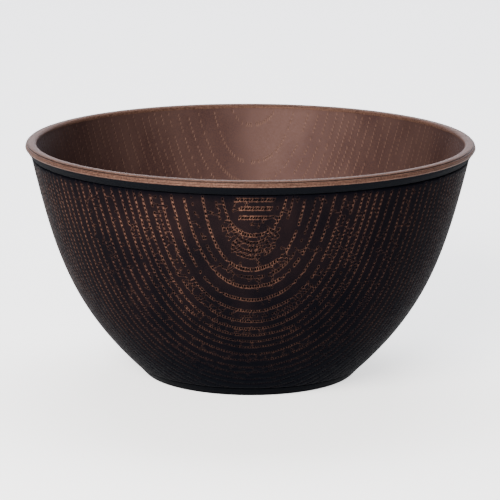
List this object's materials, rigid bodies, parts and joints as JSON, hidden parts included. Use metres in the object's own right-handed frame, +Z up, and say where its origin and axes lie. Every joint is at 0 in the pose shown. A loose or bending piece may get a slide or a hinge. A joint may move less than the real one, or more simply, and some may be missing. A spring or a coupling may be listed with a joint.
{
  "type": "food bowl",
  "caption": "Deep round bowl with a smooth rolled lip, a wood-grain relief outside and a low foot ring; holds one serving of food.",
  "frame": {"origin": "centre of the foot ring's resting face, on the bowl's axis", "axes": "+Z up along the axis, out of the bowl's mouth; -Y towards the middle of the wood-grain pattern"},
  "size_m": [0.15, 0.15, 0.079],
  "materials": {
    "textured_shell": "dark copper-brown satin lacquer over moulded wood-grain relief",
    "liner": "copper-brown satin lacquer with a slight pearl",
    "foot": "blackened brown satin lacquer"
  },
  "bodies": {
    "root": {"outer_shell": "textured_shell", "inner_shell": "liner", "foot_ring": "foot"}
  },
  "joints": []
}
